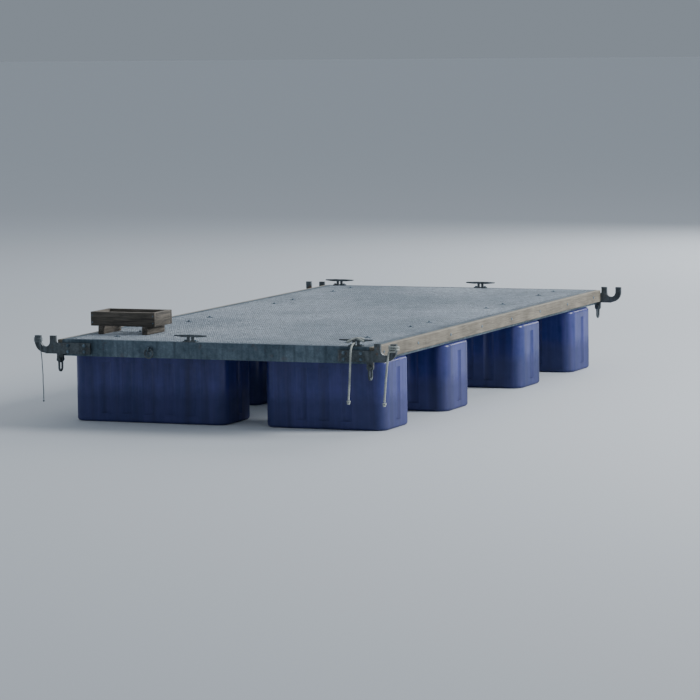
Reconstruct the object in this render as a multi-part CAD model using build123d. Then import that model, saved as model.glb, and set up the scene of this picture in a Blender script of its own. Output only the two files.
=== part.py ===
from build123d import *
import math
import os

# Floating platform: a welded channel frame with a steel grating deck, carried by four rows of
# hollow plastic floats. Coupling hooks stand out at its corners, with a shackle under each.
# Millimetres. +X to the right of the near end, +Y towards the far end, +Z up.
# The origin is the centre of the footprint, on the undersides of the floats.

# ---- frame ----
frame_width = 2400.0  # over the webs of the side beams
frame_length = 5000.0  # over the webs of the end beams
beam_height = 120.0
beam_flange = 55.0
beam_wall = 7.0
bearer_flange = 45.0
bearer_wall = 5.0
bearer_end_gap = 8.0  # weld gap between a bearer's end and the side beam's web
ledger_leg = 66.0
ledger_drop = 50.0
ledger_wall = 6.0
ledger_bolt_gap = 35.0  # from a ledger's end to the hook bolts

# ---- floats ----
float_height = 500.0
float_width = 500.0
float_overhang = 30.0  # how far a row stands out past the frame at each side
long_float_length = 1220.0
float_gap = 300.0  # between the two floats of a row
float_wall = 7.0
float_corner = 90.0
float_edge = 24.0
flute_width = 84.0
flute_depth = 12.0
flute_end = 62.0  # from a flute's end to the top or bottom of the float
flute_pitch = 170.0
end_row_inset = 460.0  # from the frame's end to the middle of the first row
row_spacing = 1230.0
bearer_half_spread = 190.0  # from a row's middle to the bolts of its bearers
pad_length = 130.0
pad_width = 40.0
lug_inset = 230.0  # from a float's end to its bolts
boss_radius = 22.0
boss_depth = 42.0
bung_radius = 24.0
bung_rim = 32.0
bung_height = 10.0

# ---- grating ----
grating_depth = 30.0
grating_bar = 3.0
grating_pitch_x = 66.7
grating_pitch_y = 100.0
grating_clearance = 2.0
clip_size = (46.0, 24.0, 3.0)
clip_inset = 260.0  # from the frame's side to the clips

# ---- rub rails ----
rail_thickness = 38.0
rail_height = 95.0
rail_drop = 2.0  # below the deck
rail_round = 5.0
rail_bolt_count = 8
rail_bolt_inset = 180.0
rail_head = 4.0

# ---- coupling hooks ----
hook_thickness = 25.0
hook_bar = 45.0
slot_radius = 38.5
slot_reach = 130.0  # from the frame's corner to the middle of the slot
hook_rise = 25.0  # of the hook's tips above the deck
slot_floor_drop = 55.0  # from the deck to the bottom of the slot
shank_height = 80.0
shank_length = 230.0
shank_floor = 15.0  # from the beam's underside to the shank's
hook_bolt_spacing_x = 130.0
hook_bolt_spacing_z = 44.0
ear_reach = 12.0  # from the frame's corner to the shackle's hole
ear_drop = 24.0  # from the beam's underside to the shackle's hole
ear_radius = 24.0

# ---- shackles ----
shackle_pin_radius = 9.0
pin_clearance = 0.5
shackle_bar = 8.0
shackle_side_gap = 2.0
shackle_leg = 60.0
shackle_eye_radius = 16.0
shackle_eye_half = 9.5

# ---- mooring rings ----
ring_place = 500.0  # from the middle of an end beam
ring_radius = 32.0
ring_bar = 6.0
ring_hole_radius = 9.0
ring_eye_plate = 10.0
ring_eye_reach = 22.0
ring_eye_height = 65.0  # above the beam's underside
ring_eye_radius = 18.0

# ---- cleats ----
cleat_length = 250.0
cleat_height = 52.0
cleat_width = 22.0
cleat_foot = (104.0, 46.0, 8.0)
cleat_post = 26.0
cleat_post_spread = 30.0
cleat_middle_place = 190.0  # from the middle of an end beam
cleat_corner_place = 1090.0
cleat_bolt_spread = 40.0

# ---- timber chock ----
chock_length = 520.0
chock_depth = 300.0
chock_height = 105.0
chock_board = 28.0
chock_runner = (44.0, 300.0, 60.0)
chock_runner_inset = 60.0
chock_left_gap = 20.0  # from the frame's left side
chock_near_gap = 420.0  # from the frame's near end
screw_head = 5.5

# ---- fasteners ----
bolt_radius = 6.0
bolt_hole_clearance = 0.5
hex_ratio = 1.8  # a hexagon's width across its corners to the bolt's diameter, halved
head_ratio = 1.3  # a head's thickness to the bolt's radius
washer_wall = 2.5
nut_ratio = 1.6
clip_bolt_radius = 4.0
insert_radius = 11.0
insert_depth = 30.0

# ---- ropes ----
rope_radius = 8.0
line_radius = 4.0
rope_seat = 0.4  # between a rope and the steel that it is tied round
knot_radius = 17.0
line_knot_radius = 9.0

# ---- worked out ----
deck_z = float_height + beam_height
half_width = frame_width / 2
half_length = frame_length / 2
bearer_floor_z = float_height + beam_wall
bearer_top_z = deck_z - grating_depth
bearer_height = bearer_top_z - bearer_floor_z
bearer_length = frame_width - 2 * (beam_wall + bearer_end_gap)
row_length = frame_width + 2 * float_overhang
short_float_length = row_length - float_gap - long_float_length
first_row = end_row_inset - half_length
row_places = (first_row, first_row + row_spacing, -first_row - row_spacing, -first_row)
joist_places = tuple((a + b) / 2 for a, b in zip(row_places, row_places[1:]))
panel_half_width = half_width - beam_flange - grating_clearance
panel_half_length = half_length - beam_flange - grating_clearance
bolt_hole = bolt_radius + bolt_hole_clearance
slot_z = deck_z - slot_floor_drop + slot_radius
shank_z = float_height + shank_floor
ear_z = float_height - ear_drop
pad_height = bearer_floor_z - float_height
ring_z = float_height + ring_eye_height

os.makedirs("parts", exist_ok=True)


def save(node, *solids):
    """Writes one node, made of one solid or of several that don't touch."""
    found = [solid for shape in solids for solid in shape.solids()]
    shape = found[0] if len(found) == 1 else Compound(children=found)
    export_step(shape, f"parts/{node}.step")


def rod(radius, start, end):
    """A round bar from one point to another."""
    axis = Vector(end) - Vector(start)
    face = Plane(origin=start, z_dir=axis) * Circle(radius)
    return extrude(face, amount=axis.length, dir=axis.normalized())


def block(low, high):
    """A square-edged block between two corners."""
    low, high = Vector(low), Vector(high)
    size, middle = high - low, (low + high) * 0.5
    return Pos(*middle) * Box(size.X, size.Y, size.Z)


def hexagon(radius, start, end):
    """A bolt's hexagon, from its outer face to its seat."""
    axis = Vector(end) - Vector(start)
    face = Plane(origin=start, z_dir=axis) * RegularPolygon(radius, 6)
    return extrude(face, amount=axis.length, dir=axis.normalized())


def bolt(seat, direction, length, radius=bolt_radius):
    """A hexagon bolt whose washer face is at seat and whose shank runs along direction."""
    seat, direction = Vector(seat), Vector(direction)
    head = hexagon(radius * hex_ratio, seat - direction * (radius * head_ratio + washer_wall), seat)
    washer = rod(radius * hex_ratio * 1.2, seat - direction * washer_wall, seat)
    return head + washer + rod(radius, seat, seat + direction * length)


def nut(seat, direction, radius=bolt_radius):
    """A nut and washer on a bolt's end, bearing on seat; direction points away from the seat."""
    seat, direction = Vector(seat), Vector(direction)
    top = seat + direction * (washer_wall + radius * nut_ratio)
    body = hexagon(radius * hex_ratio, seat, top)
    body += rod(radius * hex_ratio * 1.2, seat, seat + direction * washer_wall)
    return body - rod(radius, seat - direction, top + direction)


def channel(length, height, flange, wall, floor_z):
    """A channel along X with its web's outer face on y = 0 and its flanges towards +Y."""
    outline = Polyline(
        (0, 0),
        (flange, 0),
        (flange, wall),
        (wall, wall),
        (wall, height - wall),
        (flange, height - wall),
        (flange, height),
        (0, height),
        close=True,
    )
    plane = Plane(origin=(-length / 2, 0, floor_z), x_dir=(0, 1, 0), z_dir=(1, 0, 0))
    return extrude(plane * make_face(outline), amount=length, dir=(1, 0, 0))


def mitred_beam(length):
    """A channel of the frame, its ends cut to meet the next beams at 45 degrees."""
    beam = channel(length, beam_height, beam_flange, beam_wall, float_height)
    for side in (-1, 1):
        cut = Plane(origin=(side * length / 2, 0, 0), z_dir=(side, 1, 0))
        beam = split(beam, bisect_by=cut, keep=Keep.BOTTOM)
    return beam


# ---- places that several pieces share ----
def spread(first, last, count):
    return [first + (last - first) * i / (count - 1) for i in range(count)]


rail_z = deck_z - rail_drop - rail_height / 2
rail_bolt_places = spread(rail_bolt_inset - half_length, half_length - rail_bolt_inset, rail_bolt_count)
corners = [(x, y) for y in (-1, 1) for x in (-1, 1)]
corner_names = ("near_left", "near_right", "far_left", "far_right")
hook_bolt_middle = shank_z + shank_height / 2
hook_bolt_x = half_width - shank_length / 2 - 5
cleat_places = (
    (-cleat_middle_place, -1),
    (cleat_corner_place, -1),
    (cleat_middle_place, 1),
    (-cleat_corner_place, 1),
)
cleat_y = half_length - beam_flange / 2


def hook_bolt_points(x_side, y_side):
    for dx in (-hook_bolt_spacing_x / 2, hook_bolt_spacing_x / 2):
        for dz in (-hook_bolt_spacing_z / 2, hook_bolt_spacing_z / 2):
            yield x_side * (hook_bolt_x + dx), y_side * half_length, hook_bolt_middle + dz


# ---- frame ----
def end_beam(y_side):
    beam = Rot(0, 0, 0 if y_side < 0 else 180) * mitred_beam(frame_width)
    beam = Pos(0, y_side * half_length, 0) * beam
    for x_side in (-1, 1):
        for x, y, z in hook_bolt_points(x_side, y_side):
            beam -= rod(bolt_hole, (x, y + y_side, z), (x, y - y_side * 2 * beam_wall, z))
    for place, side in cleat_places:
        if side == y_side:
            for dx in (-cleat_bolt_spread, cleat_bolt_spread):
                x, y = place + dx, side * cleat_y
                beam -= rod(bolt_hole, (x, y, deck_z + 1), (x, y, deck_z - 2 * beam_wall))
    return beam


def side_beam(x_side):
    beam = Rot(0, 0, -90 if x_side < 0 else 90) * mitred_beam(frame_length)
    beam = Pos(x_side * half_width, 0, 0) * beam
    for y in rail_bolt_places:
        start = (x_side * (half_width + 1), y, rail_z)
        beam -= rod(bolt_hole, start, (x_side * (half_width - 2 * beam_wall), y, rail_z))
    return beam


save("end_beam_near", end_beam(-1))
save("end_beam_far", end_beam(1))
save("side_beam_left", side_beam(-1))
save("side_beam_right", side_beam(1))


# ---- floats: one long and one short in each row, the rows' halves swapped in the middle ----
def float_spans(row):
    """The two floats of a row as (name, low x, high x)."""
    left = row_length / 2
    if row in (0, 3):
        split_x = -left + long_float_length
        return (("left", -left, split_x), ("right", split_x + float_gap, left))
    split_x = left - long_float_length
    return (("left", -left, split_x - float_gap), ("right", split_x, left))


def lug_points(low, high, y):
    for x in (low + lug_inset, high - lug_inset):
        for side in (-1, 1):
            yield x, y + side * bearer_half_spread


def flutes(length, grow):
    """The bars that press the upright flutes into a float's four sides."""
    radius = (flute_width**2 / 4 + flute_depth**2) / (2 * flute_depth)
    low, high = flute_end - grow, float_height - flute_end + grow
    bars = []
    for half, half_other, turned in ((length / 2, float_width / 2, False), (float_width / 2, length / 2, True)):
        count = 1 + 2 * int((half - float_corner - flute_width / 2) // flute_pitch)
        for i in range(count):
            along = (i - (count - 1) / 2) * flute_pitch
            for side in (-1, 1):
                out = side * (half_other + radius - flute_depth)
                x, y = (out, along) if turned else (along, out)
                bars.append(rod(radius + grow, (x, y, low), (x, y, high)))
    return bars


def float_body(length, inset):
    """A float's outer form, or the form of its hollow when inset is its wall."""
    low, high = inset, float_height - inset
    corner, edge = float_corner - inset, float_edge - inset
    outline = RectangleRounded(length - 2 * inset, float_width - 2 * inset, corner)
    body = extrude(Pos(0, 0, low) * outline, amount=high - low)
    body = fillet(body.edges().filter_by(GeomType.LINE, reverse=True).group_by(Axis.Z)[0], edge)
    body = fillet(body.edges().group_by(Axis.Z)[-1], edge)
    for bar in flutes(length, inset):
        body -= bar
    return body


def float_shell(length):
    """A hollow float at the origin, with its bearer pads, bolt bosses and filler hole."""
    hollow = float_body(length, float_wall)
    body = float_body(length, 0)
    for x, y in lug_points(-length / 2, length / 2, 0):
        body += Pos(x, y, float_height + pad_height / 2 - 2) * Box(pad_length, pad_width, pad_height + 4)
        hollow -= rod(boss_radius, (x, y, float_height - boss_depth), (x, y, float_height))
    body -= hollow
    for x, y in lug_points(-length / 2, length / 2, 0):
        top = (x, y, bearer_floor_z + 1)
        body -= rod(insert_radius, (x, y, bearer_floor_z - insert_depth), top)
    body -= rod(bung_radius, (0, 0, float_height - 4 * float_wall), (0, 0, float_height + 1))
    return body


shells = {name: float_shell(size) for name, size in (("long", long_float_length), ("short", short_float_length))}
inserts, float_bolts, bungs = [], [], []
for row, y in enumerate(row_places):
    for side, low, high in float_spans(row):
        kind = "long" if high - low > (long_float_length + short_float_length) / 2 else "short"
        middle = (low + high) / 2
        save(f"float_row{row + 1}_{side}", Pos(middle, y, 0) * shells[kind])
        for x, bolt_y in lug_points(low, high, y):
            low_z = bearer_floor_z - insert_depth
            insert = rod(insert_radius, (x, bolt_y, low_z), (x, bolt_y, bearer_floor_z))
            inserts.append(insert - rod(bolt_radius, (x, bolt_y, low_z - 1), (x, bolt_y, deck_z)))
            seat = (x, bolt_y, bearer_floor_z + bearer_wall)
            float_bolts.append(bolt(seat, (0, 0, -1), bearer_wall + insert_depth - 2))
        stem = rod(bung_radius, (middle, y, float_height - float_wall), (middle, y, float_height))
        rim = rod(bung_rim, (middle, y, float_height), (middle, y, float_height + bung_height))
        grip = block(
            (middle - bung_rim * 0.7, y - 5, float_height + bung_height),
            (middle + bung_rim * 0.7, y + 5, float_height + 2 * bung_height),
        )
        bungs.append(stem + rim + grip)
save("float_inserts", *inserts)
save("float_bolts", *float_bolts)
save("filler_bungs", *bungs)


# ---- grating ----
panel_edges = (-panel_half_length, *joist_places, panel_half_length)
panel_spans = []
for i, (low, high) in enumerate(zip(panel_edges, panel_edges[1:])):
    gap_low = grating_clearance / 2 if i else 0
    gap_high = grating_clearance / 2 if i < len(panel_edges) - 2 else 0
    panel_spans.append((low + gap_low, high - gap_high))


def mesh_pitch(length, nominal):
    """How many openings fit a length, and the pitch that divides it evenly."""
    count = round((length - grating_bar) / nominal)
    return count, (length - grating_bar) / count


def opening_centres(low, high, nominal):
    count, pitch = mesh_pitch(high - low, nominal)
    return [low + grating_bar / 2 + pitch * (i + 0.5) for i in range(count)], pitch


def grating_panel(low, high):
    """A pressed grating panel: a plate of bars on edge with every opening cut through."""
    xs, pitch_x = opening_centres(-panel_half_width, panel_half_width, grating_pitch_x)
    ys, pitch_y = opening_centres(low, high, grating_pitch_y)
    a, b = (pitch_x - grating_bar) / 2, (pitch_y - grating_bar) / 2
    rim = [(-panel_half_width, low), (panel_half_width, low), (panel_half_width, high), (-panel_half_width, high)]
    holes = []
    for x in xs:
        for y in ys:
            square = [(x - a, y - b), (x + a, y - b), (x + a, y + b), (x - a, y + b)]
            holes.append(Wire.make_polygon([(*p, bearer_top_z) for p in square]))
    face = Face(Wire.make_polygon([(*p, bearer_top_z) for p in rim]), holes)
    return extrude(face, amount=grating_depth, dir=(0, 0, 1))


for i, (low, high) in enumerate(panel_spans):
    save(f"grating_panel_{i + 1}", grating_panel(low, high))


def nearest_opening(value, centres):
    return min(centres, key=lambda centre: abs(centre - value))


clip_points = []
across, across_pitch = opening_centres(-panel_half_width, panel_half_width, grating_pitch_x)
for row, y in enumerate(row_places):
    along, along_pitch = opening_centres(*panel_spans[row], grating_pitch_y)
    for side in (-1, 1):
        for x_side in (-1, 1):
            x = nearest_opening(x_side * (half_width - clip_inset), across) + across_pitch / 4
            clip_points.append((x, y + side * bearer_half_spread))
clips, clip_bolts, clip_nuts = [], [], []
for x, y in clip_points:
    plate = Pos(x, y, deck_z + clip_size[2] / 2) * Box(*clip_size)
    seat_z = deck_z + clip_size[2]
    clips.append(plate - rod(clip_bolt_radius, (x, y, deck_z - 1), (x, y, seat_z + 1)))
    shank = clip_size[2] + grating_depth + bearer_wall + washer_wall + clip_bolt_radius * nut_ratio
    clip_bolts.append(bolt((x, y, seat_z), (0, 0, -1), shank, clip_bolt_radius))
    clip_nuts.append(nut((x, y, bearer_top_z - bearer_wall), (0, 0, -1), clip_bolt_radius))
save("grating_clips", *clips)
save("clip_bolts", *clip_bolts, *clip_nuts)


# ---- bearers, joists and ledgers ----
def bearer(y, side):
    """A channel on one edge of a row of floats, open towards the row's middle."""
    web = bearer_half_spread + bearer_wall + (bearer_flange - bearer_wall) / 2 - bearer_wall / 2
    beam = channel(bearer_length, bearer_height, bearer_flange, bearer_wall, bearer_floor_z)
    return Pos(0, y + side * web, 0) * Rot(0, 0, 0 if side < 0 else 180) * beam


for row, y in enumerate(row_places):
    beams = []
    for side in (-1, 1):
        beam = bearer(y, side)
        for _, low, high in float_spans(row):
            for x, bolt_y in lug_points(low, high, y):
                if (bolt_y - y) * side > 0:
                    top = (x, bolt_y, bearer_floor_z + 2 * bearer_wall)
                    beam -= rod(bolt_hole, (x, bolt_y, bearer_floor_z - 1), top)
        for x, clip_y in clip_points:
            if abs(clip_y - y - side * bearer_half_spread) < 1:
                beam -= rod(clip_bolt_radius + bolt_hole_clearance, (x, clip_y, bearer_top_z - 10), (x, clip_y, deck_z))
        beams.append(beam)
    save(f"bearers_row{row + 1}", *beams)

joist = channel(bearer_length, bearer_height, bearer_flange, bearer_wall, bearer_floor_z)
save("joists", *(Pos(0, y - bearer_flange / 2, 0) * joist for y in joist_places))


def ledger(y_side):
    """An angle inside an end beam that carries the deck's end."""
    half = hook_bolt_x - hook_bolt_spacing_x / 2 - ledger_bolt_gap
    outer, top = half_length - beam_wall, bearer_top_z
    shelf = block((-half, 0, top - ledger_wall), (half, ledger_leg, top))
    back = block((-half, 0, top - ledger_drop), (half, ledger_wall, top - ledger_wall))
    return Pos(0, y_side * outer, 0) * Rot(0, 0, 0 if y_side < 0 else 180) * (shelf + back)


save("end_ledgers", ledger(-1), ledger(1))


# ---- rub rails ----
rail_bolts, rail_nuts = [], []
for x_side, name in ((-1, "left"), (1, "right")):
    inner, outer = x_side * half_width, x_side * (half_width + rail_thickness)
    low, high = sorted((inner, outer))
    z_low, z_high = rail_z - rail_height / 2, rail_z + rail_height / 2
    rail = block((low, -half_length, z_low), (high, half_length, z_high))
    long_edges = rail.edges().filter_by(Axis.Y)
    outer_edges = long_edges.group_by(Axis.X)[0 if x_side < 0 else -1]
    rail = fillet(outer_edges, rail_round)
    for y in rail_bolt_places:
        rail -= rod(bolt_radius, (inner - x_side, y, rail_z), (outer + x_side, y, rail_z))
        head = rod(bolt_radius * hex_ratio, (outer, y, rail_z), (outer + x_side * rail_head, y, rail_z))
        rim = head.edges().filter_by(GeomType.CIRCLE).group_by(Axis.X)[0 if x_side < 0 else -1]
        head = fillet(rim, rail_head * 0.8)
        shank_end = x_side * (half_width - beam_wall - washer_wall - bolt_radius * nut_ratio)
        rail_bolts.append(head + rod(bolt_radius, (outer, y, rail_z), (shank_end, y, rail_z)))
        rail_nuts.append(nut((x_side * (half_width - beam_wall), y, rail_z), (-x_side, 0, 0)))
    save(f"rub_rail_{name}", rail)
save("rail_bolts", *rail_bolts, *rail_nuts)


# ---- coupling hooks ----
def hook_plate():
    """A corner hook in the XZ plane, with x counted outwards from the frame's corner."""
    outer = slot_radius + hook_bar
    top = deck_z + hook_rise
    low_x, high_x = slot_reach - outer, slot_reach + outer
    shank = Pos((slot_reach - shank_length) / 2, shank_z + shank_height / 2)
    shape = shank * Rectangle(slot_reach + shank_length, shank_height)
    shape += Pos(slot_reach, slot_z) * Circle(outer)
    shape += Pos(slot_reach, (slot_z + top) / 2) * Rectangle(high_x - low_x, top - slot_z)
    shape -= Pos(slot_reach, slot_z + outer) * Rectangle(2 * slot_radius, 2 * outer)
    shape -= Pos(slot_reach, slot_z) * Circle(slot_radius)
    shape -= Pos(slot_reach, top + outer) * Rectangle(4 * outer, 2 * outer)
    shape += Pos(ear_reach, ear_z) * Circle(ear_radius)
    shape += Pos(ear_reach, (ear_z + shank_z + 5) / 2) * Rectangle(2 * ear_radius, shank_z + 5 - ear_z)
    shape -= Pos(ear_reach, ear_z) * Circle(shackle_pin_radius + pin_clearance)
    for dx in (-hook_bolt_spacing_x / 2, hook_bolt_spacing_x / 2):
        for dz in (-hook_bolt_spacing_z / 2, hook_bolt_spacing_z / 2):
            x = hook_bolt_x + dx - half_width
            shape -= Pos(x, hook_bolt_middle + dz) * Circle(bolt_hole)
    return extrude(Plane.XZ * shape, amount=hook_thickness)


plate = hook_plate()
hook_bolts, hook_nuts = [], []
for (x_side, y_side), name in zip(corners, corner_names):
    turned = plate if y_side < 0 else mirror(plate, about=Plane.XZ)
    turned = turned if x_side > 0 else mirror(turned, about=Plane.YZ)
    save(f"coupling_hook_{name}", Pos(x_side * half_width, y_side * half_length, 0) * turned)
    for x, y, z in hook_bolt_points(x_side, y_side):
        seat = (x, y + y_side * hook_thickness, z)
        shank = hook_thickness + beam_wall + washer_wall + bolt_radius * nut_ratio
        hook_bolts.append(bolt(seat, (0, -y_side, 0), shank))
        hook_nuts.append(nut((x, y - y_side * beam_wall, z), (0, -y_side, 0)))
save("hook_bolts", *hook_bolts, *hook_nuts)


# ---- shackles: each hangs from a hook's ear and swings about its pin ----
shackle_half = hook_thickness / 2 + shackle_side_gap + shackle_eye_half  # to the middle of a leg
for (x_side, y_side), name in zip(corners, corner_names):
    x, y = x_side * (half_width + ear_reach), y_side * (half_length + hook_thickness / 2)
    low_z = ear_z - shackle_leg
    legs = [(x, y - shackle_half, ear_z), (x, y - shackle_half, low_z)]
    legs += [(x, y + shackle_half, low_z), (x, y + shackle_half, ear_z)]
    turn = ThreePointArc(legs[1], (x, y, low_z - shackle_half), legs[2])
    path = Wire([*Line(legs[0], legs[1]).edges(), *turn.edges(), *Line(legs[2], legs[3]).edges()])
    bow = sweep(Plane(origin=legs[0], z_dir=(0, 0, -1)) * Circle(shackle_bar), path=path)
    for side in (-1, 1):
        near = y + side * (shackle_half - shackle_eye_half)
        far = y + side * (shackle_half + shackle_eye_half)
        bow += rod(shackle_eye_radius, (x, near, ear_z), (x, far, ear_z))
    reach = shackle_half + shackle_eye_half
    bow -= rod(shackle_pin_radius, (x, y - reach - 1, ear_z), (x, y + reach + 1, ear_z))
    pin = rod(shackle_pin_radius, (x, y - y_side * (reach + 2), ear_z), (x, y + y_side * reach, ear_z))
    pin += rod(shackle_eye_radius * 0.85, (x, y + y_side * reach, ear_z), (x, y + y_side * (reach + 6), ear_z))
    save(f"shackle_{name}", bow, pin)


# ---- mooring rings on the end beams ----
ring_eyes = []
for y_side, name in ((-1, "near"), (1, "far")):
    x, y = y_side * ring_place, y_side * (half_length + ring_eye_reach)
    low_y, high_y = sorted((y_side * half_length, y))
    eye = block(
        (x - ring_eye_plate / 2, low_y, ring_z - ring_eye_radius),
        (x + ring_eye_plate / 2, high_y, ring_z + ring_eye_radius),
    )
    eye += rod(ring_eye_radius, (x - ring_eye_plate / 2, y, ring_z), (x + ring_eye_plate / 2, y, ring_z))
    eye -= rod(ring_hole_radius, (x - ring_eye_plate, y, ring_z), (x + ring_eye_plate, y, ring_z))
    ring_eyes.append(eye)
    ring = Pos(x, y, ring_z - ring_radius) * Rot(90, 0, 0) * Torus(ring_radius, ring_bar)
    save(f"mooring_ring_{name}", ring)
save("ring_eyes", *ring_eyes)


# ---- cleats ----
def cleat():
    """A horn cleat along X, standing on z = 0."""
    half = cleat_length / 2
    horn_low = cleat_height - 17
    waist = cleat_post_spread + cleat_post / 2
    outline = Polyline(
        (-half, cleat_height - 3),
        (-half, cleat_height - 11),
        (-waist - 20, horn_low),
        (waist + 20, horn_low),
        (half, cleat_height - 11),
        (half, cleat_height - 3),
        (waist, cleat_height),
        (-waist, cleat_height),
        close=True,
    )
    horns = extrude(Plane.XZ * make_face(outline), amount=cleat_width / 2, both=True)
    body = horns + Pos(0, 0, cleat_foot[2] / 2) * Box(*cleat_foot)
    for x in (-cleat_post_spread + cleat_post / 2, cleat_post_spread - cleat_post / 2):
        body += rod(cleat_post / 2 - 2, (x, 0, cleat_foot[2] / 2), (x, 0, horn_low + 4))
    for x in (-cleat_bolt_spread, cleat_bolt_spread):
        body -= rod(bolt_radius * 0.8, (x, 0, -1), (x, 0, cleat_foot[2] + 1))
    return body


cleats, cleat_bolts, cleat_nuts = [], [], []
small_bolt = bolt_radius * 0.8
for x, side in cleat_places:
    cleats.append(Pos(x, side * cleat_y, deck_z) * cleat())
    for dx in (-cleat_bolt_spread, cleat_bolt_spread):
        seat = (x + dx, side * cleat_y, deck_z + cleat_foot[2])
        shank = cleat_foot[2] + beam_wall + washer_wall + small_bolt * nut_ratio
        cleat_bolts.append(bolt(seat, (0, 0, -1), shank, small_bolt))
        cleat_nuts.append(nut((x + dx, side * cleat_y, deck_z - beam_wall), (0, 0, -1), small_bolt))
save("cleats", *cleats)
save("cleat_bolts", *cleat_bolts, *cleat_nuts)


# ---- timber chock on the deck ----
chock_x = (chock_left_gap - half_width, chock_left_gap - half_width + chock_length)
chock_y = (chock_near_gap - half_length, chock_near_gap - half_length + chock_depth)
chock_z = (deck_z + chock_runner[2], deck_z + chock_runner[2] + chock_height)
boards = []
for low_y in (chock_y[0], chock_y[1] - chock_board):
    boards.append(block((chock_x[0], low_y, chock_z[0]), (chock_x[1], low_y + chock_board, chock_z[1])))
save("chock_boards", *boards)
ends_y = (chock_y[0] + chock_board, chock_y[1] - chock_board)
ends = []
for low_x in (chock_x[0], chock_x[1] - chock_board):
    ends.append(block((low_x, ends_y[0], chock_z[0]), (low_x + chock_board, ends_y[1], chock_z[1])))
save("chock_ends", *ends)
runners = []
for x in (chock_x[0] + chock_runner_inset, chock_x[1] - chock_runner_inset - chock_runner[0]):
    runners.append(block((x, chock_y[0], deck_z), (x + chock_runner[0], chock_y[1], chock_z[0])))
save("chock_runners", *runners)
screws = []
for x in (chock_x[0] + chock_board / 2, chock_x[1] - chock_board / 2):
    for z in (chock_z[0] + chock_height / 4, chock_z[1] - chock_height / 4):
        screws.append(rod(screw_head, (x, chock_y[0] - 1.5, z), (x, chock_y[0], z)))
        screws.append(rod(screw_head, (x, chock_y[1], z), (x, chock_y[1] + 1.5, z)))
save("chock_screws", *screws)


# ---- ropes: each tube is straight runs joined by arcs ----
def rope_tube(name, radius, points):
    runs = [(Vector(b) - Vector(a)).length for a, b in zip(points, points[1:])]
    arcs = []
    for i in range(1, len(points) - 1):
        turn = (Vector(points[i]) - Vector(points[i - 1])).get_angle(Vector(points[i + 1]) - Vector(points[i]))
        arcs.append(0.45 * min(runs[i - 1], runs[i]) / math.tan(math.radians(turn) / 2))
    path = Wire(FilletPolyline(*points, radius=arcs).edges())
    start = Vector(points[1]) - Vector(points[0])
    tube = sweep(Plane(origin=points[0], z_dir=start) * Circle(radius), path=path)
    error = tube.volume / (math.pi * radius**2 * path.length) - 1
    print(name, "length", round(path.length), "smallest arc", round(min(arcs)), "volume error", f"{error:.5f}")
    save(name, tube)
    return points[-1]


def knot(name, radius, top):
    save(name, Pos(*(Vector(top) - Vector(0, 0, radius + rope_seat))) * Sphere(radius))


def hitch(name, radius, bar, middle):
    """Two turns of rope round a square bar that stands upright."""
    across, along = bar
    half_x, half_y = across / 2 + radius + rope_seat, along / 2 + radius + rope_seat
    turns = []
    for z in (middle[2] - radius - rope_seat, middle[2] + radius + rope_seat):
        plane = Plane(origin=(middle[0], middle[1], z))
        path = Wire((plane * RectangleRounded(2 * half_x, 2 * half_y, radius + rope_seat)).edges())
        start = path @ 0
        turns.append(sweep(Plane(origin=start, z_dir=path % 0) * Circle(radius), path=path))
    save(name, *turns)


horn_x = half_width + slot_reach + slot_radius + hook_bar / 2
horn_y = -half_length - hook_thickness / 2
horn_z = slot_z + 10
horn_bar = (hook_bar, hook_thickness)
hitch("rope_hitch_right", rope_radius, horn_bar, (horn_x, horn_y, horn_z))
hitch("line_hitch_left", line_radius, horn_bar, (-horn_x, horn_y, horn_z))

face_y = -half_length - hook_thickness
rope_y = face_y - rope_radius - rope_seat
line_y = face_y - line_radius - rope_seat
corner_rope = [
    (1362, rope_y - 10, 586),
    (1356, rope_y - 12, 530),
    (1345, rope_y - 8, 460),
    (1338, rope_y - 9, 385),
    (1330, rope_y - 5, 310),
    (1325, rope_y - 6, 240),
]
beam_rope = [
    (cleat_corner_place, -2486, deck_z + 22),
    (cleat_corner_place, -2513, deck_z + 25),
    (cleat_corner_place - 1, -2540, deck_z + 19),
    (cleat_corner_place - 3, -2564, deck_z - 7),
    (cleat_corner_place - 4, -2571, deck_z - 44),
    (cleat_corner_place - 8, -2566, 520),
    (cleat_corner_place - 12, -2564, 455),
    (cleat_corner_place - 18, -2558, 385),
    (cleat_corner_place - 23, -2560, 315),
    (cleat_corner_place - 29, -2556, 250),
]
thin_line = [
    (-1366, line_y - 6, 592),
    (-1360, line_y - 8, 540),
    (-1353, line_y - 5, 480),
    (-1350, line_y - 7, 420),
    (-1347, line_y - 4, 360),
    (-1348, line_y - 6, 300),
    (-1345, line_y - 3, 240),
    (-1346, line_y - 5, 180),
]
knot("rope_knot_corner", knot_radius, rope_tube("mooring_rope_corner", rope_radius, corner_rope))
knot("rope_knot_beam", knot_radius, rope_tube("mooring_rope_beam", rope_radius, beam_rope))
knot("line_knot", line_knot_radius, rope_tube("thin_line", line_radius, thin_line))
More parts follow.
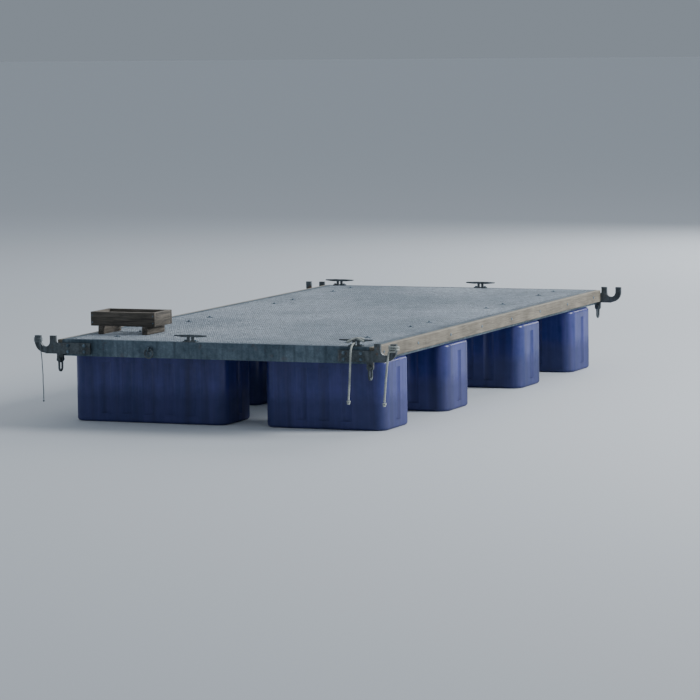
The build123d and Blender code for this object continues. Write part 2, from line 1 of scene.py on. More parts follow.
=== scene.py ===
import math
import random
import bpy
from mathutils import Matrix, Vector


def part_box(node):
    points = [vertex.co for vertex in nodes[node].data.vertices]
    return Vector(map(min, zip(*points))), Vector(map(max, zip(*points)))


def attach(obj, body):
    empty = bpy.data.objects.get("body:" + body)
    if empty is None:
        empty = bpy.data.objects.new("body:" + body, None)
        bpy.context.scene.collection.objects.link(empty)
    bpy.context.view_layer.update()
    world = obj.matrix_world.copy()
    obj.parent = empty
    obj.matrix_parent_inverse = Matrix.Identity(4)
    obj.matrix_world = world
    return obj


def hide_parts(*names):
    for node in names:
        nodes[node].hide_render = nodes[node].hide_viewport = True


bl_info = {
    "name": "Floating platform",
    "version": (1, 0, 0),
    "blender": (4, 5, 0),
    "location": "View3D > Sidebar > Platform",
    "description": "Finishes a grating-decked floating platform and lights it in a studio",
    "category": "Object",
}

import bmesh
import bpy
from bpy.props import FloatProperty, FloatVectorProperty, IntProperty, PointerProperty
from mathutils import Matrix, Vector

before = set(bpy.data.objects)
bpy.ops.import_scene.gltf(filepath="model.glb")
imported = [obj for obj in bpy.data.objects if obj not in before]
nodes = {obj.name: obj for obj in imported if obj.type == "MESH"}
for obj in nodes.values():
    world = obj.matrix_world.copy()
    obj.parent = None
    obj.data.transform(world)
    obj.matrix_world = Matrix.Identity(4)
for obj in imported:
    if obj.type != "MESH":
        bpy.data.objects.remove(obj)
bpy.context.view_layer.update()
BODY = "platform"


# ---- settings ----
def colour(label, value):
    """A colour property, in linear values."""
    text = f"{label} of the finish"
    limits = {"size": 3, "min": 0, "max": 1}
    return FloatVectorProperty(name=label, description=text, subtype="COLOR", default=value, **limits)


def length(label, value):
    """A length property, in metres."""
    return FloatProperty(name=label, description=f"{label} in metres", unit="LENGTH", min=0, default=value)


class SteelSettings(bpy.types.PropertyGroup):
    zinc: colour("Zinc colour", (0.150, 0.205, 0.250))
    zinc_dull: colour("Weathered zinc colour", (0.065, 0.100, 0.132))
    forged: colour("Forged fittings colour", (0.120, 0.145, 0.160))
    rust: colour("Rust colour", (0.130, 0.062, 0.030))


class GratingSettings(bpy.types.PropertyGroup):
    pitch: length("Mesh pitch", 0.0338)
    bar: length("Bar thickness", 0.0034)
    # Partly the zinc's own grey, partly a painted reflection: the pale tone stands in for the sky seen on the
    # bar tops.
    metal_and_painted_sky: colour("Grating colour", (0.610, 0.670, 0.730))
    damp: colour("Damp patch colour", (0.390, 0.450, 0.510))


class FloatSettings(bpy.types.PropertyGroup):
    plastic: colour("Float colour", (0.012, 0.024, 0.135))
    faded: colour("Sun-faded colour", (0.072, 0.074, 0.285))
    scum: colour("Waterline film colour", (0.018, 0.026, 0.075))
    waterline: length("Height of the waterline", 0.28)


class TimberSettings(bpy.types.PropertyGroup):
    rail: colour("Rub rail colour", (0.215, 0.195, 0.155))
    rail_dark: colour("Rub rail dark grain", (0.135, 0.122, 0.098))
    chock: colour("Chock colour", (0.135, 0.120, 0.098))
    chock_dark: colour("Chock dark grain", (0.042, 0.038, 0.033))


class RopeSettings(bpy.types.PropertyGroup):
    rope: colour("Mooring rope colour", (0.460, 0.500, 0.470))
    line: colour("Thin line colour", (0.230, 0.275, 0.300))
    strands: IntProperty(name="Strands", description="Strands laid up in each rope", min=2, max=4, default=3)
    lay: FloatProperty(name="Lay", description="One turn of the strands, in rope radii", default=7.0)


class StageSettings(bpy.types.PropertyGroup):
    floor: colour("Floor colour", (0.560, 0.600, 0.640))
    lens: FloatProperty(name="Lens", description="Focal length in millimetres", default=182.0)
    roll: FloatProperty(name="Roll", description="Camera's turn on its axis", subtype="ANGLE", default=-0.014)


SETTINGS = {
    "platform_steel": SteelSettings,
    "platform_grating": GratingSettings,
    "platform_floats": FloatSettings,
    "platform_timber": TimberSettings,
    "platform_ropes": RopeSettings,
    "platform_stage": StageSettings,
}


# ---- node helpers ----
def feed(tree, socket, value):
    """Links a socket to another node's output, or gives it a plain value."""
    if isinstance(value, bpy.types.NodeSocket):
        tree.links.new(value, socket)
    else:
        socket.default_value = value


def put(tree, kind, sockets=None, **values):
    """Adds a node, sets its values, and sets or links its input sockets."""
    node = tree.nodes.new(kind)
    for key, value in values.items():
        setattr(node, key, value)
    for key, value in (sockets or {}).items():
        feed(tree, node.inputs[key], value)
    return node


def solid(rgb):
    """A colour with full alpha."""
    return (*rgb, 1.0)


def ramp(tree, factor, stops):
    """A colour ramp with (place, grey or colour) stops."""
    node = put(tree, "ShaderNodeValToRGB", {"Fac": factor})
    band = node.color_ramp.elements
    while len(band) < len(stops):
        band.new(0.5)
    for element, (place, value) in zip(band, stops):
        element.position = place
        element.color = (value, value, value, 1) if isinstance(value, float) else solid(value)
    return node.outputs["Color"]


def math_node(tree, operation, first, second=0.0, clamp=False):
    """The result of one sum."""
    sockets = {0: first, 1: second}
    return put(tree, "ShaderNodeMath", sockets, operation=operation, use_clamp=clamp).outputs[0]


def blend_colour(tree, factor, first, second, mode="MIX"):
    """Two colours mixed. A Mix node keeps its colour sockets at places 6, 7 and 2."""
    sockets = {0: factor, 6: first, 7: second}
    return put(tree, "ShaderNodeMix", sockets, data_type="RGBA", blend_type=mode).outputs[2]


def new_group(name, inputs, outputs):
    """A shader group with named sockets; returns its tree and its two end nodes."""
    tree = bpy.data.node_groups.new(name, "ShaderNodeTree")
    for label, kind, value in inputs:
        socket = tree.interface.new_socket(name=label, in_out="INPUT", socket_type=kind)
        if value is not None:
            socket.default_value = value
    for label, kind in outputs:
        tree.interface.new_socket(name=label, in_out="OUTPUT", socket_type=kind)
    return tree, tree.nodes.new("NodeGroupInput"), tree.nodes.new("NodeGroupOutput")


VECTOR, FLOAT, COLOR = "NodeSocketVector", "NodeSocketFloat", "NodeSocketColor"
GREY = (0.5, 0.5, 0.5, 1)


def group_mottle():
    """Two colours mixed by cloudy noise at two scales."""
    inputs = [("Vector", VECTOR, None), ("Scale", FLOAT, 6.0)]
    inputs += [("Base", COLOR, GREY), ("Patch", COLOR, GREY)]
    tree, start, end = new_group("mottle", inputs, [("Color", COLOR), ("Mask", FLOAT)])
    place = start.outputs["Vector"]
    scale = start.outputs["Scale"]
    broad = put(tree, "ShaderNodeTexNoise", {"Vector": place, "Scale": scale, "Detail": 6.0})
    fine_scale = math_node(tree, "MULTIPLY", scale, 9.0)
    fine = put(tree, "ShaderNodeTexNoise", {"Vector": place, "Scale": fine_scale, "Detail": 4.0})
    fine_part = math_node(tree, "MULTIPLY", fine.outputs["Fac"], 0.45)
    total = math_node(tree, "ADD", broad.outputs["Fac"], fine_part)
    mask = ramp(tree, math_node(tree, "MULTIPLY", total, 0.7), [(0.38, 0.0), (0.62, 1.0)])
    mixed = blend_colour(tree, mask, start.outputs["Base"], start.outputs["Patch"])
    tree.links.new(mixed, end.inputs["Color"])
    tree.links.new(mask, end.inputs["Mask"])
    return tree


def group_streaks():
    """Upright runs left by water, as a mask."""
    inputs = [("Vector", VECTOR, None), ("Scale", FLOAT, 30.0), ("Amount", FLOAT, 0.5)]
    tree, start, end = new_group("water_streaks", inputs, [("Mask", FLOAT)])
    drawn = put(tree, "ShaderNodeMapping", {"Vector": start.outputs["Vector"], "Scale": (1.0, 1.0, 0.06)})
    sockets = {"Vector": drawn.outputs[0], "Scale": start.outputs["Scale"], "Detail": 5.0}
    noise = put(tree, "ShaderNodeTexNoise", sockets)
    mask = ramp(tree, noise.outputs["Fac"], [(0.48, 0.0), (0.68, 1.0)])
    amount = math_node(tree, "MULTIPLY", mask, start.outputs["Amount"], clamp=True)
    tree.links.new(amount, end.inputs["Mask"])
    return tree


def group_grain():
    """Weathered timber grain along Y, as a colour and a relief."""
    inputs = [("Vector", VECTOR, None), ("Light", COLOR, GREY), ("Dark", COLOR, GREY)]
    tree, start, end = new_group("timber_grain", inputs, [("Color", COLOR), ("Height", FLOAT)])
    drawn = put(tree, "ShaderNodeMapping", {"Vector": start.outputs["Vector"], "Scale": (1.0, 0.05, 1.0)})
    sockets = {"Vector": drawn.outputs[0], "Scale": 140.0, "Detail": 6.0, "Distortion": 0.6}
    grain = put(tree, "ShaderNodeTexNoise", sockets)
    cracks = put(tree, "ShaderNodeTexNoise", {"Vector": drawn.outputs[0], "Scale": 55.0, "Detail": 3.0})
    split = ramp(tree, cracks.outputs["Fac"], [(0.33, 0.0), (0.39, 1.0)])
    tone = ramp(tree, grain.outputs["Fac"], [(0.35, 0.0), (0.62, 1.0)])
    mixed = blend_colour(tree, tone, start.outputs["Dark"], start.outputs["Light"])
    mixed = blend_colour(tree, split, start.outputs["Dark"], mixed)
    sockets = {"Vector": start.outputs["Vector"], "Scale": 5.0, "Detail": 3.0}
    blotch = put(tree, "ShaderNodeTexNoise", sockets)
    shade = ramp(tree, blotch.outputs["Fac"], [(0.3, 0.62), (0.7, 1.12)])
    mixed = blend_colour(tree, 1.0, mixed, shade, "MULTIPLY")
    tree.links.new(mixed, end.inputs["Color"])
    height = math_node(tree, "MULTIPLY", grain.outputs["Fac"], split)
    tree.links.new(height, end.inputs["Height"])
    return tree


def group_grime():
    """A mask that rises towards the ground from one height down to another."""
    inputs = [("Vector", VECTOR, None), ("Top", FLOAT, 0.3), ("Depth", FLOAT, 0.1)]
    tree, start, end = new_group("height_film", inputs, [("Mask", FLOAT)])
    parts = put(tree, "ShaderNodeSeparateXYZ", {0: start.outputs["Vector"]})
    sockets = {"Vector": start.outputs["Vector"], "Scale": 22.0, "Detail": 5.0}
    noise = put(tree, "ShaderNodeTexNoise", sockets)
    wobble = math_node(tree, "MULTIPLY", math_node(tree, "SUBTRACT", noise.outputs["Fac"], 0.5), 0.09)
    height = math_node(tree, "ADD", parts.outputs["Z"], wobble)
    below = math_node(tree, "SUBTRACT", start.outputs["Top"], height)
    mask = math_node(tree, "DIVIDE", below, start.outputs["Depth"], clamp=True)
    tree.links.new(mask, end.inputs["Mask"])
    return tree


def use(tree, group, sockets):
    """Places a shared effect with its own values."""
    return put(tree, "ShaderNodeGroup", sockets, node_tree=bpy.data.node_groups[group])


def material(name, metallic=0.0, roughness=0.5):
    """A new material; returns it with its tree, its shader and its object coordinates."""
    made = bpy.data.materials.new(name)
    made.use_nodes = True
    tree = made.node_tree
    shader = tree.nodes["Principled BSDF"]
    shader.inputs["Metallic"].default_value = metallic
    shader.inputs["Roughness"].default_value = roughness
    place = tree.nodes.new("ShaderNodeTexCoord").outputs["Object"]
    return made, tree, shader, place


def relief(tree, shader, height, distance, strength):
    """Bump from a height, over a distance in metres."""
    bump = put(tree, "ShaderNodeBump", {"Height": height, "Distance": distance, "Strength": strength})
    tree.links.new(bump.outputs[0], shader.inputs["Normal"])


# ---- materials ----
def zinc_material(name, bright, dull, rust, rust_amount=0.25, scale=3.0):
    """Hot-dip galvanised steel: spangle, weathered patches, water runs and a little rust."""
    made, tree, shader, place = material(name, 0.55, 0.5)
    sockets = {"Vector": place, "Scale": scale, "Base": solid(bright), "Patch": solid(dull)}
    patches = use(tree, "mottle", sockets)
    spangle = put(tree, "ShaderNodeTexVoronoi", {"Vector": place, "Scale": 95.0})
    tone = ramp(tree, spangle.outputs["Color"], [(0.1, 0.84), (0.9, 1.12)])
    base = blend_colour(tree, 1.0, patches.outputs["Color"], tone, "MULTIPLY")
    runs = use(tree, "water_streaks", {"Vector": place, "Scale": 34.0, "Amount": 0.55})
    base = blend_colour(tree, runs.outputs["Mask"], base, solid([c * 0.55 for c in dull]))
    spots = put(tree, "ShaderNodeTexNoise", {"Vector": place, "Scale": 17.0, "Detail": 9.0})
    rusty = ramp(tree, spots.outputs["Fac"], [(0.62, 0.0), (0.74, 1.0)])
    base = blend_colour(tree, math_node(tree, "MULTIPLY", rusty, rust_amount), base, solid(rust))
    tree.links.new(base, shader.inputs["Base Color"])
    rough = math_node(tree, "ADD", math_node(tree, "MULTIPLY", patches.outputs["Mask"], 0.22), 0.40)
    tree.links.new(rough, shader.inputs["Roughness"])
    relief(tree, shader, spots.outputs["Fac"], 0.0012, 0.35)
    return made


def float_material(settings):
    """Roto-moulded polyethylene: blue, faded in broad patches, streaked, dirty below the waterline."""
    made, tree, shader, place = material("float_plastic", 0.0, 0.36)
    sockets = {"Vector": place, "Scale": 2.2, "Base": solid(settings.plastic), "Patch": solid(settings.faded)}
    fade = use(tree, "mottle", sockets)
    base = blend_colour(tree, 0.42, solid(settings.plastic), fade.outputs["Color"])
    runs = use(tree, "water_streaks", {"Vector": place, "Scale": 26.0, "Amount": 0.42})
    base = blend_colour(tree, runs.outputs["Mask"], base, solid(settings.faded))
    dark = use(tree, "water_streaks", {"Vector": place, "Scale": 11.0, "Amount": 0.6})
    base = blend_colour(tree, dark.outputs["Mask"], base, solid([c * 0.4 for c in settings.plastic]))
    film = use(tree, "height_film", {"Vector": place, "Top": settings.waterline, "Depth": 0.10})
    weight = math_node(tree, "MULTIPLY", film.outputs["Mask"], 0.45)
    base = blend_colour(tree, weight, base, solid(settings.scum))
    tree.links.new(base, shader.inputs["Base Color"])
    rough = math_node(tree, "ADD", math_node(tree, "MULTIPLY", film.outputs["Mask"], 0.30), 0.33)
    tree.links.new(rough, shader.inputs["Roughness"])
    pebble = put(tree, "ShaderNodeTexNoise", {"Vector": place, "Scale": 260.0, "Detail": 2.0})
    swell = put(tree, "ShaderNodeTexNoise", {"Vector": place, "Scale": 7.0, "Detail": 1.0})
    pebbles = math_node(tree, "MULTIPLY", pebble.outputs["Fac"], 0.05)
    height = math_node(tree, "ADD", pebbles, swell.outputs["Fac"])
    relief(tree, shader, height, 0.006, 0.6)
    shader.inputs["Specular IOR Level"].default_value = 0.5
    return made


def timber_material(name, light, dark, turn=(0, 0, 0)):
    """Silvered timber with open grain; faces that look up are painted paler, as painted light from above."""
    made, tree, shader, place = material(name, 0.0, 0.82)
    turned = put(tree, "ShaderNodeMapping", {"Vector": place, "Rotation": turn}).outputs[0]
    grain = use(tree, "timber_grain", {"Vector": turned, "Light": solid(light), "Dark": solid(dark)})
    normal = tree.nodes.new("ShaderNodeNewGeometry").outputs["Normal"]
    facing = put(tree, "ShaderNodeSeparateXYZ", {0: normal})
    # Painted light: faces that look up are blended towards a paler colour, as if lit from above.
    upward = math_node(tree, "MULTIPLY", facing.outputs["Z"], 0.65, clamp=True)
    painted_top_light = solid([min(1.0, c * 1.7 + 0.05) for c in light])
    base = blend_colour(tree, upward, grain.outputs["Color"], painted_top_light)
    base = blend_colour(tree, 0.35, base, grain.outputs["Color"])
    tree.links.new(base, shader.inputs["Base Color"])
    relief(tree, shader, grain.outputs["Height"], 0.0016, 0.8)
    return made


def rope_material(name, tint):
    """Laid fibre: fine yarns and grubby patches."""
    made, tree, shader, place = material(name, 0.0, 0.85)
    grubby = solid([c * 0.55 for c in tint])
    sockets = {"Vector": place, "Scale": 14.0, "Base": solid(tint), "Patch": grubby}
    patch = use(tree, "mottle", sockets)
    yarn = put(tree, "ShaderNodeTexNoise", {"Vector": place, "Scale": 900.0, "Detail": 2.0})
    tone = ramp(tree, yarn.outputs["Fac"], [(0.3, 0.72), (0.7, 1.15)])
    base = blend_colour(tree, 1.0, patch.outputs["Color"], tone, "MULTIPLY")
    tree.links.new(base, shader.inputs["Base Color"])
    relief(tree, shader, yarn.outputs["Fac"], 0.0006, 0.7)
    shader.inputs["Sheen Weight"].default_value = 0.25
    return made


def plain_material(name, tint, metallic, roughness):
    """A small fitting's finish: tint with wear noise and relief."""
    made, tree, shader, place = material(name, metallic, roughness)
    worn = solid([min(1.0, c * 1.6 + 0.02) for c in tint])
    sockets = {"Vector": place, "Scale": 25.0, "Base": solid(tint), "Patch": worn}
    patch = use(tree, "mottle", sockets)
    tree.links.new(patch.outputs["Color"], shader.inputs["Base Color"])
    relief(tree, shader, patch.outputs["Mask"], 0.0004, 0.5)
    return made


def dress(made, *names):
    """Gives CAD nodes a material."""
    for name in names:
        for slot in nodes[name].material_slots:
            slot.material = made


def named(*starts):
    """Names of the CAD nodes that start in one of these ways."""
    return [name for name in sorted(nodes) if name.startswith(starts)]


# ---- mesh helpers ----
ROUND = 60  # edges flatter than this many degrees are smooth on ropes and welds
BOARD = 35  # and on boards
STRAND = 0.53  # a strand's radius, as a share of the rope's


def finished(name, mesh, made, smooth=None):
    """Links a mesh as a piece that rides on the platform."""
    piece = bpy.data.objects.new(name, mesh)
    bpy.context.scene.collection.objects.link(piece)
    mesh.materials.clear()
    mesh.materials.append(made)
    if smooth is not None:
        for face in mesh.polygons:
            face.use_smooth = True
        mesh.set_sharp_from_angle(angle=math.radians(smooth))
    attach(piece, BODY)
    return piece


def mesh_from(bm, name):
    """Turns a bmesh into a mesh and frees it."""
    mesh = bpy.data.meshes.new(name)
    bm.to_mesh(mesh)
    bm.free()
    return mesh


def worn_board(bm, low, high, chip, seed):
    """A timber board with rounded arrises and slightly uneven faces."""
    size, middle = high - low, (high + low) / 2
    along = max(range(3), key=lambda axis: size[axis])
    board = bmesh.new()
    bmesh.ops.create_cube(board, size=1.0, matrix=Matrix.Translation(middle) @ Matrix.Diagonal((*size, 1)))
    bmesh.ops.bevel(
        board, geom=list(board.edges), offset=chip, segments=2, profile=0.5, affect="EDGES", material=-1
    )
    cuts = 14
    direction = Vector((0, 0, 0))
    direction[along] = 1
    for i in range(1, cuts):
        place = middle.copy()
        place[along] = low[along] + size[along] * i / cuts
        geom = [*board.verts, *board.edges, *board.faces]
        bmesh.ops.bisect_plane(board, geom=geom, plane_co=place, plane_no=direction)
    dice = random.Random(seed)
    for vert in board.verts:
        pull = (middle - vert.co).normalized() * dice.uniform(0, chip * 0.4)
        pull[along] = 0
        vert.co += pull
    mesh = mesh_from(board, "board")
    bm.from_mesh(mesh)
    bpy.data.meshes.remove(mesh)


def outer_pair(low, high, wide):
    """The two boards at the left and right of a box, each this wide in X."""
    return [
        (Vector((x, low.y, low.z)), Vector((x + wide, high.y, high.z))) for x in (low.x, high.x - wide)
    ]


def curve_mesh(data):
    """The mesh of a curve, which is then removed."""
    carrier = bpy.data.objects.new(data.name, data)
    mesh = bpy.data.meshes.new_from_object(carrier)
    bpy.data.objects.remove(carrier)
    bpy.data.curves.remove(data)
    return mesh


def round_curve(name, radius):
    """An empty curve with a round section and closed ends."""
    data = bpy.data.curves.new(name, "CURVE")
    data.dimensions = "3D"
    data.bevel_depth = radius
    data.bevel_resolution = 2
    data.use_fill_caps = True
    return data


def smooth_line(route, step):
    """Points down the NURBS line through a route, about a step apart."""
    data = bpy.data.curves.new("route", "CURVE")
    data.dimensions = "3D"
    data.resolution_u = 24
    spline = data.splines.new("NURBS")
    spline.points.add(len(route) - 1)
    for point, place in zip(spline.points, route):
        point.co = (*place, 1)
    spline.order_u = 3
    spline.use_endpoint_u = True
    mesh = curve_mesh(data)
    points = [v.co.copy() for v in mesh.vertices]
    bpy.data.meshes.remove(mesh)
    kept = [points[0]]
    for point in points[1:]:
        if (point - kept[-1]).length >= step:
            kept.append(point)
    if (points[-1] - kept[-1]).length > step / 3:
        kept.append(points[-1])
    return kept


def laid_rope(name, line, radius, settings):
    """A rope's mesh: strands twisted round a line of points."""
    data = round_curve(name, radius * STRAND)
    across = (line[1] - line[0]).orthogonal().normalized()
    turned, frames = 0.0, []
    for i, point in enumerate(line):
        ahead = (line[min(i + 1, len(line) - 1)] - line[max(i - 1, 0)]).normalized()
        across = (across - ahead * across.dot(ahead)).normalized()
        if i:
            turned += 2 * math.pi * (point - line[i - 1]).length / (settings.lay * radius)
        frames.append((point, across.copy(), ahead.cross(across), turned))
    for strand in range(settings.strands):
        spline = data.splines.new("POLY")
        spline.points.add(len(frames) - 1)
        for place, (point, side, up, turn) in zip(spline.points, frames):
            angle = turn + 2 * math.pi * strand / settings.strands
            offset = (side * math.cos(angle) + up * math.sin(angle)) * radius * (1 - STRAND)
            place.co = (*(point + offset), 1)
    return curve_mesh(data)


# ---- pieces ----
class PLATFORM_OT_materials(bpy.types.Operator):
    """Builds the shared effects that the finishes use"""

    bl_idname = "platform.materials"
    bl_label = "Shared effects"

    def execute(self, context):
        for build in (group_mottle, group_streaks, group_grain, group_grime):
            build()
        return {"FINISHED"}


class PLATFORM_OT_steel(bpy.types.Operator):
    """Finishes the frame, the fittings and the fasteners"""

    bl_idname = "platform.steel"
    bl_label = "Frame and fittings"

    def execute(self, context):
        steel = context.scene.platform_steel
        zinc = zinc_material("frame_zinc", steel.zinc, steel.zinc_dull, steel.rust)
        dress(zinc, *named("end_beam", "side_beam", "bearers", "joists", "end_ledgers", "ring_eyes"))
        forged_dull = [c * 0.5 for c in steel.forged]
        forged = zinc_material("forged_zinc", steel.forged, forged_dull, steel.rust, 0.6, 9.0)
        dress(forged, *named("coupling_hook", "shackle", "mooring_ring", "cleats"))
        bright = [c * 1.35 for c in steel.zinc]
        bolts = zinc_material("bolt_zinc", bright, steel.zinc_dull, steel.rust, 0.5, 20.0)
        dress(bolts, "hook_bolts", "rail_bolts", "cleat_bolts", "clip_bolts", "float_bolts")
        dress(bolts, "grating_clips", "chock_screws")
        dress(plain_material("insert_brass", (0.55, 0.40, 0.16), 1.0, 0.35), "float_inserts")
        return {"FINISHED"}


class PLATFORM_OT_welds(bpy.types.Operator):
    """Runs a weld bead up each mitred corner of the frame"""

    bl_idname = "platform.welds"
    bl_label = "Corner welds"

    def execute(self, context):
        low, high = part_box("side_beam_left")[0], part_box("side_beam_right")[1]
        data = round_curve("weld", 0.0042)
        dice = random.Random(4)
        inset = 0.0015  # of the bead's line inside the corner
        wander = 4e-4
        end_gap = 0.004
        ripples = 36
        for x in (low.x + inset, high.x - inset):
            for y in (low.y + inset, high.y - inset):
                spline = data.splines.new("POLY")
                spline.points.add(ripples - 1)
                for i, point in enumerate(spline.points):
                    z = low.z + end_gap + (high.z - low.z - 2 * end_gap) * i / (ripples - 1)
                    point.co = (x + dice.uniform(-wander, wander), y + dice.uniform(-wander, wander), z, 1)
                    point.radius = 0.85 + 0.3 * (i % 2)
        finished("corner_welds", curve_mesh(data), bpy.data.materials["frame_zinc"], ROUND)
        return {"FINISHED"}


class PLATFORM_OT_grating(bpy.types.Operator):
    """Draws the full mesh of every deck panel"""

    bl_idname = "platform.grating"
    bl_label = "Grating deck"

    def execute(self, context):
        settings = context.scene.platform_grating
        steel = context.scene.platform_steel
        made = zinc_material("grating_zinc", settings.metal_and_painted_sky, settings.damp, steel.rust, 0.15, 1.1)
        # A wet, dull deck is less metallic than the frame; its pale colour is partly a painted reflection of
        # the sky on the bar tops.
        made.node_tree.nodes["Principled BSDF"].inputs["Metallic"].default_value = 0.2
        for name in named("grating_panel"):
            low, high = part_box(name)
            size, middle = high - low, (high + low) / 2
            columns, rows = round(size.x / settings.pitch), round(size.y / settings.pitch)
            bm = bmesh.new()
            spread = Matrix.Diagonal((size.x / 2, size.y / 2, 1, 1))
            top = Matrix.Translation((middle.x, middle.y, high.z)) @ spread
            bmesh.ops.create_grid(bm, x_segments=columns, y_segments=rows, size=1.0, matrix=top)
            cells = list(bm.faces)
            bmesh.ops.inset_individual(bm, faces=cells, thickness=settings.bar / 2, use_even_offset=True)
            bmesh.ops.delete(bm, geom=cells, context="FACES_ONLY")
            for face in bm.faces:
                if face.normal.z < 0:
                    face.normal_flip()
            deck = finished(f"{name}_mesh", mesh_from(bm, name), made)
            depth = deck.modifiers.new("depth", "SOLIDIFY")
            depth.thickness = size.z
            depth.offset = -1
            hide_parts(name)
        return {"FINISHED"}


class PLATFORM_OT_floats(bpy.types.Operator):
    """Finishes the floats and their filler bungs"""

    bl_idname = "platform.floats"
    bl_label = "Floats"

    def execute(self, context):
        dress(float_material(context.scene.platform_floats), *named("float_row"))
        dress(plain_material("bung_plastic", (0.028, 0.028, 0.032), 0.0, 0.5), "filler_bungs")
        return {"FINISHED"}


class PLATFORM_OT_timber(bpy.types.Operator):
    """Finishes the rub rails and builds the chock's worn boards"""

    bl_idname = "platform.timber"
    bl_label = "Timber"

    def execute(self, context):
        timber = context.scene.platform_timber
        dress(timber_material("rail_timber", timber.rail, timber.rail_dark), *named("rub_rail"))
        quarter = math.radians(90)
        along_x = timber_material("chock_timber", timber.chock, timber.chock_dark, (0, 0, quarter))
        along_y = timber_material("chock_end_timber", timber.chock, timber.chock_dark)
        low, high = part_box("chock_boards")
        end_low, end_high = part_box("chock_ends")
        run_low, run_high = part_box("chock_runners")
        thick = end_low.y - low.y
        sides = [(low, Vector((high.x, low.y + thick, high.z)))]
        sides.append((Vector((low.x, high.y - thick, low.z)), high))
        boards = (
            ("chock_boards", along_x, sides),
            ("chock_ends", along_y, outer_pair(end_low, end_high, thick)),
            ("chock_runners", along_y, outer_pair(run_low, run_high, 0.044)),
        )
        for name, made, spans in boards:
            bm = bmesh.new()
            for i, (start, end) in enumerate(spans):
                worn_board(bm, start, end, 0.003, seed=i + len(name))
            bmesh.ops.recalc_face_normals(bm, faces=bm.faces)
            piece = finished(f"{name}_worn", mesh_from(bm, name), made, BOARD)
            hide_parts(name)
        return {"FINISHED"}


# Routes of the ropes, in metres, from where each leaves its hitch or cleat to its knot.
CORNER_ROPE = [
    (1.362, -2.5434, 0.586),
    (1.356, -2.5454, 0.530),
    (1.345, -2.5414, 0.460),
    (1.338, -2.5424, 0.385),
    (1.330, -2.5384, 0.310),
    (1.325, -2.5394, 0.240),
]
BEAM_ROPE = [
    (1.090, -2.486, 0.642),
    (1.090, -2.513, 0.645),
    (1.089, -2.540, 0.639),
    (1.087, -2.564, 0.613),
    (1.086, -2.571, 0.576),
    (1.082, -2.566, 0.520),
    (1.078, -2.564, 0.455),
    (1.072, -2.558, 0.385),
    (1.067, -2.560, 0.315),
    (1.061, -2.556, 0.250),
]
THIN_LINE = [
    (-1.366, -2.5354, 0.592),
    (-1.360, -2.5374, 0.540),
    (-1.353, -2.5344, 0.480),
    (-1.350, -2.5364, 0.420),
    (-1.347, -2.5334, 0.360),
    (-1.348, -2.5354, 0.300),
    (-1.345, -2.5324, 0.240),
    (-1.346, -2.5344, 0.180),
]


def knot_line(middle, size):
    """A trefoil whose loops fill a ball of the given radius."""
    points = []
    count = 72
    for i in range(count + 1):
        t = 2 * math.pi * i / count
        across = math.sin(t) + 2 * math.sin(2 * t)
        upward = math.cos(t) - 2 * math.cos(2 * t)
        deep = -1.5 * math.sin(3 * t)
        points.append(middle + Vector((across, deep, upward)) * size / 3)
    return points


def hitch_line(middle, half_x, half_y, pitch, turns, lead):
    """Turns round an upright square bar, ending in a lead to the rope's first point."""
    power = 0.45  # squares the oval off
    points = []
    steps = 28
    for i in range(int(steps * turns) + 1):
        t = 2 * math.pi * i / steps + math.pi
        c, s = math.cos(t), math.sin(t)
        x = math.copysign(abs(c) ** power, c) * half_x
        y = math.copysign(abs(s) ** power, s) * half_y
        points.append(middle + Vector((x, y, pitch * (turns / 2 - i / steps))))
    return points + smooth_line([points[-1], *lead], pitch / 3)[1:]


class PLATFORM_OT_ropes(bpy.types.Operator):
    """Lays up the ropes with their hitches, turns and knots"""

    bl_idname = "platform.ropes"
    bl_label = "Ropes"

    def execute(self, context):
        settings = context.scene.platform_ropes
        white = rope_material("mooring_rope", settings.rope)
        grey = rope_material("thin_line", settings.line)
        ropes = (
            ("mooring_rope_corner", "rope_knot_corner", CORNER_ROPE, 0.008, 0.348, white, "rope_white"),
            ("mooring_rope_beam", "rope_knot_beam", BEAM_ROPE, 0.008, 0.453, white, "rope_white"),
            ("thin_line", "line_knot", THIN_LINE, 0.004, 0.413, grey, "line_grey"),
        )
        for name, knot_name, route, radius, real, made, slot in ropes:
            line = smooth_line(route, radius * 0.6)
            rope = finished(f"{name}_laid", laid_rope(name, line, radius, settings), made, ROUND)
            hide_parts(name)
            low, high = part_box(knot_name)
            size = (high.z - low.z) / 2
            middle = (low + high) / 2
            tight = radius * 0.78
            ball = laid_rope(knot_name, knot_line(middle, size - tight), tight, settings)
            knot = finished(f"{knot_name}_tied", ball, made, ROUND)
            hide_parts(knot_name)
        hitches = (
            ("rope_hitch_right", 0.008, 2.3, CORNER_ROPE[0], white, "rope_white"),
            ("line_hitch_left", 0.004, 3.3, THIN_LINE[0], grey, "line_grey"),
        )
        for name, radius, turns, first, made, slot in hitches:
            low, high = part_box(name)
            middle, half = (low + high) / 2, (high - low) / 2
            lead_start = Vector(first) + Vector((0, 0, 0.012))
            lead = [lead_start, Vector(first)]
            line = hitch_line(middle, half.x - radius, half.y - radius, radius * 2.1, turns, lead)
            piece = finished(f"{name}_tied", laid_rope(name, line, radius, settings), made, ROUND)
            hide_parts(name)
        self.cleat_turns(settings, white)
        return {"FINISHED"}

    def cleat_turns(self, settings, made):
        """Figure-of-eight turns that make the rope fast on the corner cleat."""
        middle = Vector((BEAM_ROPE[0][0], -2.4725, 0.664))
        points = []
        steps = 40
        for i in range(int(steps * 2.2) + 1):
            t = 2 * math.pi * i / steps
            width = 0.058 + 0.004 * i / steps
            side = math.sin(2 * t) * 0.024
            rise = 0.012 * math.cos(2 * t) + 0.006 * math.sin(t)
            points.append(middle + Vector((math.sin(t) * width, side, rise)))
        mesh = laid_rope("cleat_turns", points, 0.008, settings)
        finished("cleat_rope_turns", mesh, made, ROUND)


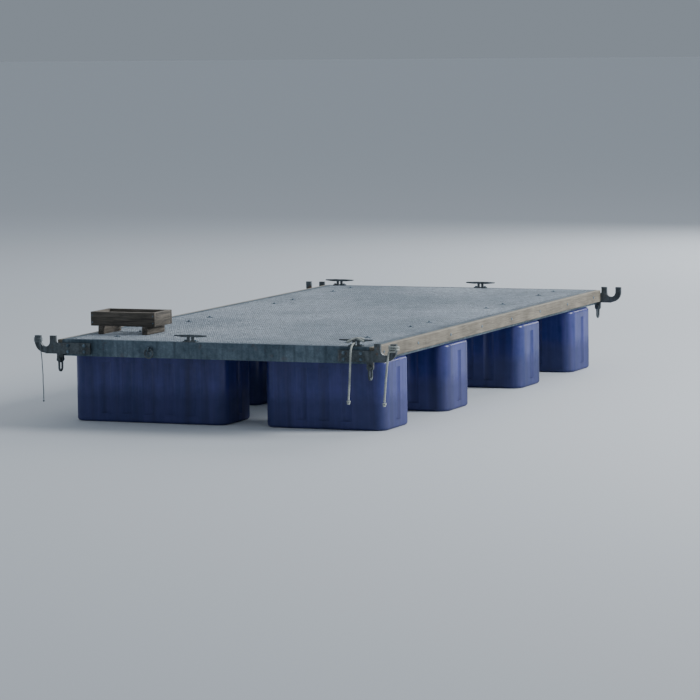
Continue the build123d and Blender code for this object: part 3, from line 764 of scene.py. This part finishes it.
# Name, place, size in metres and power in watts of each studio light.
LIGHTS = (
    ("key", (15, 3, 8), 6.0, 3500),
    ("fill", (-12, -6, 9), 9.0, 60),
    ("back", (2, 17, 7), 9.0, 1300),
)
LIGHT_AIM = Vector((0, 0, 0.3))
CAMERA_PLACE = (10.49, -25.31, 3.02)
CAMERA_AIM = Vector((0.02, 0.0, 0.33))
SKY = [(0.0, (0.40, 0.46, 0.53)), (0.25, (0.60, 0.67, 0.76)), (1.0, (0.80, 0.86, 0.94))]


class PLATFORM_OT_stage(bpy.types.Operator):
    """Adds the floor, the studio light and the camera"""

    bl_idname = "platform.stage"
    bl_label = "Studio"

    def execute(self, context):
        settings = context.scene.platform_stage
        scene = context.scene
        made, _, shader, _ = material("studio_floor", 0.0, 0.75)
        shader.inputs["Base Color"].default_value = solid(settings.floor)
        bm = bmesh.new()
        bmesh.ops.create_grid(bm, x_segments=1, y_segments=1, size=150.0)
        floor = bpy.data.objects.new("studio_floor", mesh_from(bm, "studio_floor"))
        floor.data.materials.append(made)
        scene.collection.objects.link(floor)
        world = bpy.data.worlds.new("studio")
        world.use_nodes = True
        tree = world.node_tree
        sky = tree.nodes["Background"]
        way = tree.nodes.new("ShaderNodeTexCoord").outputs["Generated"]
        height = put(tree, "ShaderNodeSeparateXYZ", {0: way}).outputs["Z"]
        mist = ramp(tree, height, SKY)
        tree.links.new(mist, sky.inputs["Color"])
        sky.inputs["Strength"].default_value = 0.58
        scene.world = world
        for name, place, size, power in LIGHTS:
            light = bpy.data.lights.new(name, "AREA")
            light.size = size
            light.energy = power
            lamp = bpy.data.objects.new(name, light)
            lamp.location = place
            aim = LIGHT_AIM - Vector(place)
            lamp.rotation_euler = aim.to_track_quat("-Z", "Y").to_euler()
            scene.collection.objects.link(lamp)
        data = bpy.data.cameras.new("camera")
        data.lens = settings.lens
        data.clip_end = 400
        camera = bpy.data.objects.new("camera", data)
        camera.location = CAMERA_PLACE
        level = (CAMERA_AIM - camera.location).to_track_quat("-Z", "Y").to_matrix()
        camera.rotation_euler = (level @ Matrix.Rotation(settings.roll, 3, "Z")).to_euler()
        scene.collection.objects.link(camera)
        scene.camera = camera
        return {"FINISHED"}


STEPS = (
    PLATFORM_OT_materials,
    PLATFORM_OT_steel,
    PLATFORM_OT_welds,
    PLATFORM_OT_grating,
    PLATFORM_OT_floats,
    PLATFORM_OT_timber,
    PLATFORM_OT_ropes,
    PLATFORM_OT_stage,
)


class PLATFORM_PT_panel(bpy.types.Panel):
    """Lists the platform's pieces and their settings"""

    bl_label = "Floating platform"
    bl_idname = "PLATFORM_PT_panel"
    bl_space_type = "VIEW_3D"
    bl_region_type = "UI"
    bl_category = "Platform"

    def draw(self, context):
        for step in STEPS:
            self.layout.operator(step.bl_idname)
        for name, group in SETTINGS.items():
            box = self.layout.box()
            for field in group.__annotations__:
                box.prop(getattr(context.scene, name), field)


def register():
    for name, group in SETTINGS.items():
        bpy.utils.register_class(group)
        setattr(bpy.types.Scene, name, PointerProperty(type=group))
    for step in (*STEPS, PLATFORM_PT_panel):
        bpy.utils.register_class(step)


def unregister():
    for step in (PLATFORM_PT_panel, *reversed(STEPS)):
        bpy.utils.unregister_class(step)
    for name, group in SETTINGS.items():
        delattr(bpy.types.Scene, name)
        bpy.utils.unregister_class(group)


def main():
    register()
    for step in STEPS:
        space, action = step.bl_idname.split(".")
        getattr(getattr(bpy.ops, space), action)()


if __name__ == "__main__":
    main()
